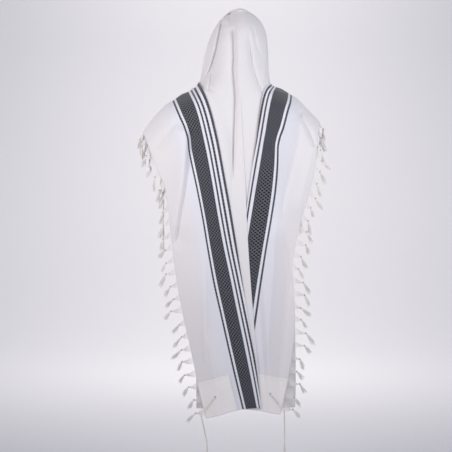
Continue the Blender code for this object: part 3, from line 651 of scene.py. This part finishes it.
# The left inner layer's columns are close together where it lies on the hood's folds.
left_share = np.interp(np.arange(112), (0, 71, 111), (0, 0.3, 1))
for name, side, sizes, layer, share in (
    ("left_under_layer", -1, LEFT_UNDER, 3, left_share),
    ("right_under_layer", 1, RIGHT_UNDER, 1, np.linspace(0, 1, 61)),
):
    grid, out, run = under_layer(side, sizes, layer, share)
    lift, creased = slack(out, run, 3.0 + side, END_SLACK), 0
    if side < 0:
        x, y, z = grid.transpose(2, 0, 1)
        shared = on_hood(x, z) * (y < CREST_Y)
        lift += (slack(x, z - y, 1.0, HOOD_SLACK) - lift) * shared
        creased = folded(x, z, HOOD_FOLDS) * shared
    grid += outward(grid) * lift[..., None]
    grid[..., 1] -= creased
    under = cloth_sheet(name, grid, out, run, plain_twill)
    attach(under, "root")
    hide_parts(name)


def dye_stripes(tree, shader, weave, slubs, plain, stripes):
    """Colours the warp threads of each stripe, given as (from, to) out from the inner fold, and what
    lies between them."""
    axes = add_node(tree, "ShaderNodeSeparateXYZ", {"Vector": weave}).outputs
    # The dyed threads step aside and back every 8 mm, as the weave crosses them.
    step = add_node(tree, "ShaderNodeMath", {0: axes["Y"], 1: 0.004}, operation="PINGPONG").outputs[0]
    place = add_node(tree, "ShaderNodeMath", {0: step, 1: 0.30, 2: axes["X"]}, operation="MULTIPLY_ADD")
    share = add_node(tree, "ShaderNodeMath", {0: place.outputs[0], 1: FLAP_WIDTH}, operation="DIVIDE")
    warp = add_node(tree, "ShaderNodeValToRGB", {"Fac": share.outputs[0]})
    stops = warp.color_ramp
    stops.interpolation = "CONSTANT"
    stops.elements[1].color = (0, 0, 0, 1)
    for start, end in stripes:
        stops.elements.new(start / FLAP_WIDTH).color = (1, 1, 1, 1)
        stops.elements.new(end / FLAP_WIDTH).color = (0, 0, 0, 1)
    # Dark and grey threads make small diamonds, 14 mm apart in rows that step by half. The real ones
    # are finer, and would not show.
    half = 0.0068
    across = add_node(tree, "ShaderNodeMath", {0: axes["X"], 1: half}, operation="PINGPONG").outputs[0]
    along = add_node(tree, "ShaderNodeMath", {0: axes["Y"], 1: half}, operation="PINGPONG").outputs[0]
    corner = add_node(tree, "ShaderNodeMath", {0: across, 1: along}, operation="ADD").outputs[0]
    nearest = add_node(tree, "ShaderNodeMath", {0: corner, 1: half}, operation="SUBTRACT").outputs[0]
    distance = add_node(tree, "ShaderNodeMath", {0: nearest}, operation="ABSOLUTE").outputs[0]
    uneven = add_node(tree, "ShaderNodeMath", {0: slubs, 1: 0.0022, 2: distance}, operation="MULTIPLY_ADD")
    speck = add_node(
        tree, "ShaderNodeMapRange",
        {"Value": uneven.outputs[0], "From Min": 0.0008, "From Max": 0.0044, "To Min": 1.0, "To Max": 0.0},
    ).outputs["Result"]
    charcoal = add_node(
        tree, "ShaderNodeMix", {0: speck, 6: linear("#1C1D23"), 7: linear("#777880")}, data_type="RGBA",
    ).outputs[2]
    # The wool between the stripes and just past the thin line is painted a cooler white, as painted shade,
    # and warms to the plain wool towards the fringe.
    painted_shade_fade = add_node(
        tree, "ShaderNodeMapRange", {"Value": axes["X"], "From Min": 0.13, "From Max": 0.21},
    ).outputs["Result"]
    shade_painted_ground = add_node(
        tree, "ShaderNodeMix", {0: painted_shade_fade, 6: linear("#EAEAF2"), 7: plain}, data_type="RGBA",
    ).outputs[2]
    striped = add_node(
        tree, "ShaderNodeMix", {0: warp.outputs["Color"], 6: shade_painted_ground, 7: charcoal}, data_type="RGBA",
    ).outputs[2]
    tree.links.new(striped, shader.inputs["Base Color"])


STRIPES = ((0.0003, 0.0080), (0.0175, 0.0245), (0.0325, 0.0395), (STRIPE_AT, 0.1050), (0.1138, 0.1212))
striped_twill, *for_dyeing = woven("striped_wool_twill", "#F0ECEE")
dye_stripes(*for_dyeing, STRIPES)
flaps = {}
for name, side, sizes, layer in (("left_flap", -1, LEFT_FLAP, 4), ("right_flap", 1, RIGHT_FLAP, 2)):
    grid, out, run = flap(side, sizes, layer)
    grid += outward(grid) * slack(out, run, 11.0 + side, END_SLACK)[..., None]
    flaps[side] = grid
    piece = cloth_sheet(name, grid, out, run, striped_twill)
    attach(piece, "root")
    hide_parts(name)


# Corner patches: squares of the same pale wool, sewn to each corner of the shawl on its outer face.
# Each is hemmed, run round with cotton thread, and has a worked eyelet for its tzitzit.

def spun_yarn():
    """Node tree that gives lines of thread their thickness, which each point's girth scales."""
    tree = bpy.data.node_groups.new("spun_yarn", "GeometryNodeTree")
    for socket, kind in (
        ("Lines", "NodeSocketGeometry"), ("Radius", "NodeSocketFloat"),
        ("Sides", "NodeSocketInt"), ("Wool", "NodeSocketMaterial"),
    ):
        tree.interface.new_socket(name=socket, in_out="INPUT", socket_type=kind)
    tree.interface.new_socket(name="Yarn", in_out="OUTPUT", socket_type="NodeSocketGeometry")
    given = add_node(tree, "NodeGroupInput").outputs
    line = add_node(tree, "GeometryNodeMeshToCurve", {"Mesh": given["Lines"]}).outputs["Curve"]
    ring = add_node(
        tree, "GeometryNodeCurvePrimitiveCircle", {"Resolution": given["Sides"], "Radius": given["Radius"]},
    ).outputs["Curve"]
    girth = add_node(tree, "GeometryNodeInputNamedAttribute", {"Name": "girth"}, data_type="FLOAT")
    round_it = add_node(
        tree, "GeometryNodeCurveToMesh",
        {"Curve": line, "Profile Curve": ring, "Scale": girth.outputs["Attribute"], "Fill Caps": True},
    ).outputs["Mesh"]
    soft = add_node(tree, "GeometryNodeSetShadeSmooth", {"Geometry": round_it}).outputs["Geometry"]
    real = add_node(tree, "GeometryNodeRealizeInstances", {"Geometry": soft}).outputs["Geometry"]
    made = add_node(tree, "GeometryNodeSetMaterial", {"Geometry": real, "Material": given["Wool"]})
    add_node(tree, "NodeGroupOutput", {"Yarn": made.outputs["Geometry"]})
    return tree


yarn_tree = spun_yarn()


def spin(name, lines, radius, sides, surface):
    """Thread along each of the lines. A line is (points, girths), with one girth for each point."""
    points = np.concatenate([line for line, _ in lines])
    girths = np.concatenate([girth for _, girth in lines])
    counts = [len(line) for line, _ in lines]
    starts = np.cumsum([0, *counts])
    edges = [(i, i + 1) for start, count in zip(starts, counts) for i in range(start, start + count - 1)]
    mesh = bpy.data.meshes.new(name)
    mesh.from_pydata(points.tolist(), edges, [])
    mesh.attributes.new("girth", "FLOAT", "POINT").data.foreach_set("value", girths.astype(np.float32))
    made = bpy.data.objects.new(name, mesh)
    bpy.context.scene.collection.objects.link(made)
    maker = made.modifiers.new("yarn", "NODES")
    maker.node_group = yarn_tree
    values = {"Radius": radius, "Sides": sides, "Wool": surface}
    for socket in yarn_tree.interface.items_tree:
        if socket.name in values:
            maker[socket.identifier] = values[socket.name]
    graph = bpy.context.evaluated_depsgraph_get()
    made.data = bpy.data.meshes.new_from_object(made.evaluated_get(graph))
    made.data.name = name
    made.modifiers.clear()
    return made


def fibre(name, colour, roughness, hairs_per_metre):
    """Spun wool or cotton: matt, with fine hairs that break up its surface."""
    made, tree, shader = new_material(
        name, linear(colour), roughness, Sheen_Weight=0.3, Specular_IOR_Level=0.25,
    )
    place = add_node(tree, "ShaderNodeTexCoord").outputs["Object"]
    hairs = add_node(
        tree, "ShaderNodeTexNoise", {"Vector": place, "Scale": hairs_per_metre, "Detail": 3.0},
    ).outputs["Fac"]
    bump = add_node(tree, "ShaderNodeBump", {"Height": hairs, "Strength": 0.4, "Distance": 0.0008})
    tree.links.new(bump.outputs["Normal"], shader.inputs["Normal"])
    return made


def blended(values, out, run):
    """What a flap's grid of values says at metres out from its fold and metres up from its back hem."""
    column = np.clip(out / FLAP_WIDTH * (values.shape[1] - 1), 0, values.shape[1] - 1.001)
    row = np.clip(run / CLOTH_WIDTH * (values.shape[0] - 1), 0, values.shape[0] - 1.001)
    c, r = int(column), int(row)
    across, up = column - c, row - r
    near = values[r, c] * (1 - across) + values[r, c + 1] * across
    far = values[r + 1, c] * (1 - across) + values[r + 1, c + 1] * across
    return near * (1 - up) + far * up


normals_of = {side: outward(grid) for side, grid in flaps.items()}


def on_cloth(side, out, run, height):
    """A point this high over a flap, at metres out from its fold and metres up from its back hem."""
    return blended(flaps[side], out, run) + blended(normals_of[side], out, run) * height


PATCH_SIDE, PATCH_CLOTH, HEM_RISE = 0.14, 0.0010, 0.0010
PATCH_BASE = (CLOTH + PATCH_CLOTH) / 2 + 0.0004  # how high over the flap the middle of its cloth lies
PATCH_FACE = PATCH_BASE + PATCH_CLOTH / 2
HOLE_IN, HOLE_UP, HOLE_RADIUS = 0.061, 0.072, 0.0027
SEAM_IN, STITCH, COTTON_RADIUS = 0.004, 0.0042, 0.00035
SIDE_NAMES = {-1: "left", 1: "right"}
CORNERS = [(side, end) for side in SIDE_NAMES for end in ("back", "front")]


def round_hole(side, end, turn, reach, height):
    """A point round a corner's eyelet, this high over the flap."""
    hole_run = HOLE_UP if end == "back" else CLOTH_WIDTH - HOLE_UP
    out, run = FLAP_WIDTH - HOLE_IN + math.cos(turn) * reach, hole_run + math.sin(turn) * reach
    return on_cloth(side, out, run, height)


# The same twill, a little whiter
patch_wool = woven("patch_wool_twill", "#FFFBF9")[0]
# Thin matt thread, a shade darker than the wool that it sews
cotton = fibre("cotton_thread", "#E9E4DC", 0.7, 900.0)
# The eyelet is not cut through: a dull dark disc in it is painted shade, for the dark seen through the hole.
shade = new_material("shade_in_eyelet", linear("#2B2A2C"), 0.95)[0]
columns_in = round(PATCH_SIDE / FLAP_WIDTH * (FLAP_COLUMNS - 1))
rows_up = round(PATCH_SIDE / CLOTH_WIDTH * (FLAP_ROWS - 1))
out, run = np.meshgrid(*(np.linspace(0, PATCH_SIDE, n + 1) for n in (columns_in, rows_up)))
# How many places in from the patch's edge each point of its grid lies
from_edge = np.minimum(*np.meshgrid(
    *(np.minimum(np.arange(n + 1), n - np.arange(n + 1)) for n in (columns_in, rows_up)),
))
hemmed = PATCH_BASE + HEM_RISE * (from_edge < 2.5)
for side, end in CORNERS:
    name = f"{SIDE_NAMES[side]}_{end}_patch"
    rows = slice(0, rows_up + 1) if end == "back" else slice(-rows_up - 1, None)
    corner = np.s_[rows, -columns_in - 1:]
    grid = flaps[side][corner] + normals_of[side][corner] * hemmed[..., None]
    # Its warp lies across the shawl's.
    patch = cloth_sheet(name, grid, run, out, patch_wool, PATCH_CLOTH)
    lines = []
    inner = FLAP_WIDTH - PATCH_SIDE
    base = 0 if end == "back" else CLOTH_WIDTH - PATCH_SIDE
    for at in np.arange(SEAM_IN, PATCH_SIDE - SEAM_IN, STITCH):
        for u, v, du, dv in (
            (SEAM_IN, at, 0, 1), (PATCH_SIDE - SEAM_IN, at, 0, 1),
            (at, SEAM_IN, 1, 0), (at, PATCH_SIDE - SEAM_IN, 1, 0),
        ):
            stitch = [
                on_cloth(side, inner + u + du * step, base + v + dv * step, PATCH_FACE + HEM_RISE + lift)
                for step, lift in ((0, -0.0004), (STITCH * 0.3, 0.0003), (STITCH * 0.6, -0.0004))
            ]
            lines.append((np.array(stitch), np.ones(3)))
    for turn in np.linspace(0, 2 * math.pi, 22, endpoint=False):
        # A stitch over the eyelet's edge
        stitch = [
            round_hole(side, end, turn, HOLE_RADIUS + past, PATCH_FACE + lift)
            for past, lift in ((-0.0003, -0.0002), (0.0009, 0.0007), (0.0025, -0.0001))
        ]
        lines.append((np.array(stitch), np.full(3, 1.6)))
    sewing = spin(f"{name}_sewing", lines, COTTON_RADIUS, 5, cotton)
    # A disc of painted shade, just over the patch's face, fills the eyelet.
    rim = [
        round_hole(side, end, turn, HOLE_RADIUS, PATCH_FACE + 0.0003)
        for turn in np.linspace(0, 2 * math.pi, 20, endpoint=False)
    ]
    wedges = [(0, 1 + i, 1 + (i + 1) % len(rim)) for i in range(len(rim))]
    eyelet = new_mesh(f"{name}_hole", [round_hole(side, end, 0, 0, PATCH_FACE + 0.0004), *rim], wedges, shade)
    for piece in (patch, sewing, eyelet):
        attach(piece, "root")
    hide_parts(name)


# Fringe: the warp's own ends, past the last weft. Every 5 cm a fan of them is drawn together, tied
# in a knot and left as a loose bunch.

TASSELS, FAN_THREADS, FAN_REACH, BUNCH_THREADS = 30, 9, 0.014, 24
YARN_RADIUS, KNOT_RADIUS, KNOT_HEIGHT = 0.0008, 0.0024, 0.0055
TIE_TURNS, TIE_POINTS = 2.5, 22
# Loose yarn is pale and soft. The knotted yarn is coloured darker: painted shade for the shadows that a tight
# knot holds.
fringe_wool = fibre("loose_wool_yarn", "#F6F2EF", 0.92, 700.0)
knot_shade_wool = fibre("knot_yarn_painted_shade", "#D3C8BC", 0.92, 700.0)
HANG = table(
    # share of the way down, then how far out and down the knot and the bunch's end are
    "down    knot_out  knot_down  end_out  end_down",
    (-0.40, 0.020, 0.024, 0.006, 0.050),
    (0.00, 0.018, 0.026, 0.004, 0.050),
    (0.15, 0.016, 0.024, 0.018, 0.044),
    (0.40, 0.024, 0.016, 0.020, 0.044),
    (0.60, 0.030, 0.008, 0.032, 0.038),
    (1.00, 0.034, 0.004, 0.036, 0.034),
)


def unit(vector):
    return vector / np.linalg.norm(vector)


def lowered(by):
    """The step this far straight down."""
    return np.array([0, 0, -by])


def outwards(side, run, edge):
    """The level direction out over the flap's edge, at this point of it."""
    return unit((edge - on_cloth(side, FLAP_WIDTH - 0.02, run, 0)) * (1, 1, 0))


def coiled(start, way, across, front, length, turns, radius, points):
    """A helix of this length, which winds round the way from its start."""
    angle = np.linspace(0, 2 * math.pi * turns, points)[:, None]
    ring = np.cos(angle) * across + np.sin(angle) * front
    return start + way * (angle / angle[-1] * length) + ring * radius


for side, name in SIDE_NAMES.items():
    luck = np.random.default_rng(20 + side)
    crest_run = np.argmax(flaps[side][:, -1, 2]) / (FLAP_ROWS - 1) * CLOTH_WIDTH
    lines, knots = [], []
    for i in range(TASSELS):
        run = (i + 0.5) / TASSELS * CLOTH_WIDTH
        root = on_cloth(side, FLAP_WIDTH, run, 0)
        level = outwards(side, run, root) + blended(normals_of[side], FLAP_WIDTH, run) * (0.3, 0.3, 0)
        share = 1 - run / crest_run if run < crest_run else crest_run - run
        knot_out, knot_down, end_out, end_down = (
            smooth(share, HANG["down"], HANG[key]) * luck.uniform(0.65, 1.4) for key in list(HANG)[1:]
        )
        knot = root + level * knot_out + lowered(knot_down)
        fall = unit(unit(level * end_out + lowered(end_down)) + luck.normal(0, 0.12, 3))
        length = luck.uniform(0.030, 0.050)
        for spread in np.linspace(-FAN_REACH, FAN_REACH, FAN_THREADS):
            start = on_cloth(side, FLAP_WIDTH, run + spread, 0)
            mid = start * 0.45 + knot * 0.55 + lowered(0.002) + luck.normal(0, 0.0006, 3)
            lines.append((np.array([start, mid, knot]), np.array([0.8, 1.0, 1.2])))
        aside = unit(np.cross(fall, (0.2, 1.0, 0.1)))
        front = np.cross(aside, fall)
        below = knot - fall * KNOT_HEIGHT / 2
        tie = coiled(below, fall, aside, front, KNOT_HEIGHT, TIE_TURNS, KNOT_RADIUS, TIE_POINTS)
        knots.append((tie, np.full(TIE_POINTS, 1.6)))
        for _ in range(BUNCH_THREADS):
            way, far = luck.uniform(0, 2 * math.pi), luck.uniform(0.0015, 0.0085)
            away = (aside * math.cos(way) + front * math.sin(way)) * far
            own = length * luck.uniform(0.65, 1.12)
            t = np.linspace(0, 1, 6)[:, None]
            droop = lowered(0.008) * t**2 * luck.uniform(0.4, 1.4)
            bulge = away * t**0.7 + luck.normal(0, 0.0010, (6, 3)) * t
            lines.append((knot + fall * own * t + droop + bulge, np.array([1.2, 1.2, 1.3, 1.3, 1.2, 0.8])))
    fringe = spin(f"{name}_fringe", lines, YARN_RADIUS, 5, fringe_wool)
    ties = spin(f"{name}_fringe_knots", knots, YARN_RADIUS, 5, knot_shade_wool)
    for piece in (fringe, ties):
        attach(piece, "root")
    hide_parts(f"{name}_fringe")


# Tzitzit: four long wool strings, doubled through the eyelet into eight, knotted and wound with the
# longest of them, and left loose at the end.

# Hard-twisted wool: matt, and creamier than the shawl
tzitzit_wool = fibre("twisted_wool_string", "#F0EBE2", 0.85, 1100.0)
WINDINGS = (7, 8, 11, 13)
STRING, LACE_PITCH, KNOT_LENGTH, WOUND_LENGTH, LOOSE_LENGTH = 0.0009, 0.011, 0.0045, 0.100, 0.150
TIGHT, KNOTTED = 2.3 * STRING, 2.9 * STRING  # radius of the windings, and of a double knot
LACE_POINTS, DOUBLE_KNOT_POINTS, STRING_POINTS = 40, 26, 24
LEANS = {(-1, "back"): 0.22, (1, "back"): 0.01, (-1, "front"): -0.01, (1, "front"): 0.01}
# The lace's way over the patch: share of the way from the eyelet to the corner, and height
LACE = ((0, -0.001), (0.12, 0.0015), (0.4, 0.002), (0.7, 0.003), (0.97, 0.005))
for side, end in CORNERS:
    name = f"{SIDE_NAMES[side]}_{end}_tzitzit"
    luck = np.random.default_rng(40 + 2 * side + (end == "back"))
    hem, up = (0, 1) if end == "back" else (CLOTH_WIDTH, -1)
    over_patch = [
        on_cloth(side, FLAP_WIDTH - HOLE_IN * (1 - t), hem + up * HOLE_UP * (1 - t * 0.62),
                 PATCH_FACE + 2 * STRING + bow)
        for t, bow in LACE
    ]
    edge = over_patch[-1]
    level = outwards(side, hem + up * 0.02, edge)
    knot = edge + level * 0.010 + lowered(0.016)
    lace = np.array([*over_patch, edge + level * 0.007 + lowered(0.005), knot])
    run = run_of(lace)
    at = np.linspace(0, run[-1], LACE_POINTS)
    lines = []
    for strand in range(4):
        twist = at / LACE_PITCH * 2 * math.pi + strand * math.pi / 2
        ring = np.stack([np.cos(twist), np.sin(twist), np.sin(twist + 1.0) * 0.5], axis=-1)
        lines.append((points_at(at, run, lace) + ring * STRING * 1.2, np.full(LACE_POINTS, 1.2)))
    lean = unit(np.array([LEANS[side, end], 0, -1]))
    across = unit(np.cross(lean, (0, 1, 0)))
    front = np.cross(across, lean)
    lines.append((np.array([knot, knot + lean * WOUND_LENGTH]), np.full(2, 2.2)))
    place = knot
    for count in (*WINDINGS, 0):
        # A double knot, then the windings that follow it; the last knot has none
        double_knot = coiled(place, lean, across, front, KNOT_LENGTH, 2, KNOTTED, DOUBLE_KNOT_POINTS)
        lines.append((double_knot, np.full(DOUBLE_KNOT_POINTS, 1.25)))
        place = place + lean * KNOT_LENGTH
        if count:
            length = (WOUND_LENGTH - KNOT_LENGTH * len(WINDINGS)) * count / sum(WINDINGS)
            windings = coiled(place, lean, across, front, length, count, TIGHT, 10 * count)
            lines.append((windings, np.ones(10 * count)))
            place = place + lean * length
    for string in range(8):
        way = string * math.pi / 4 + luck.uniform(-0.3, 0.3)
        away = across * math.cos(way) + front * math.sin(way)
        t = np.linspace(0, 1, STRING_POINTS)[:, None]
        wave = np.sin(t * luck.uniform(6, 13) + luck.uniform(0, 6)) * luck.uniform(0.0008, 0.0022)
        cross_wave = across * wave + front * np.roll(wave, 5)
        own = LOOSE_LENGTH * luck.uniform(0.86, 1.0)
        drift = away * luck.uniform(0.003, 0.008) * t**0.7
        thinning = np.linspace(1.0, 0.75, STRING_POINTS)
        lines.append((place + lowered(own) * t + drift + cross_wave * t**0.5, thinning))
    tzitzit = spin(name, lines, STRING, 6, tzitzit_wool)
    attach(tzitzit, "root")
    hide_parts(name)


# Neckband, or atara: a plain band of figured cotton sewn to the outside of the hood's face edge,
# so that the wearer finds the top of the shawl.

BAND_FIRST, BAND_LAST = 8.2, 15.8  # rows of OUTLINE between which it lies
BAND_BACK = 0.36  # share of the way from the crest to the face edge, where it begins
BAND_CLOTH, BAND_COLUMNS, BAND_ROWS = 0.0012, 160, 24
# Cotton in the same twill, greyer than the wool
band_cotton = woven("figured_cotton_band", "#D9D7DB")[0]
place = outline_at(np.linspace(BAND_FIRST, BAND_LAST, BAND_COLUMNS))
band = over_head(place, np.linspace(BAND_BACK, 1, BAND_ROWS))
outside = np.cross(np.gradient(band, axis=1), np.gradient(band, axis=0))
outside /= np.linalg.norm(outside, axis=2, keepdims=True)
# Over the crown the outside is the upper side.
outside *= np.sign(outside[BAND_ROWS // 2, BAND_COLUMNS // 2, 2])
band = band + outside * ((CLOTH + BAND_CLOTH) / 2 + 0.0004)
out, run = np.meshgrid(np.linspace(0, 0.50, BAND_COLUMNS), np.linspace(0, 0.08, BAND_ROWS))
neckband = cloth_sheet("neckband", band, run, out, band_cotton, BAND_CLOTH)
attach(neckband, "root")
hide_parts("neckband")
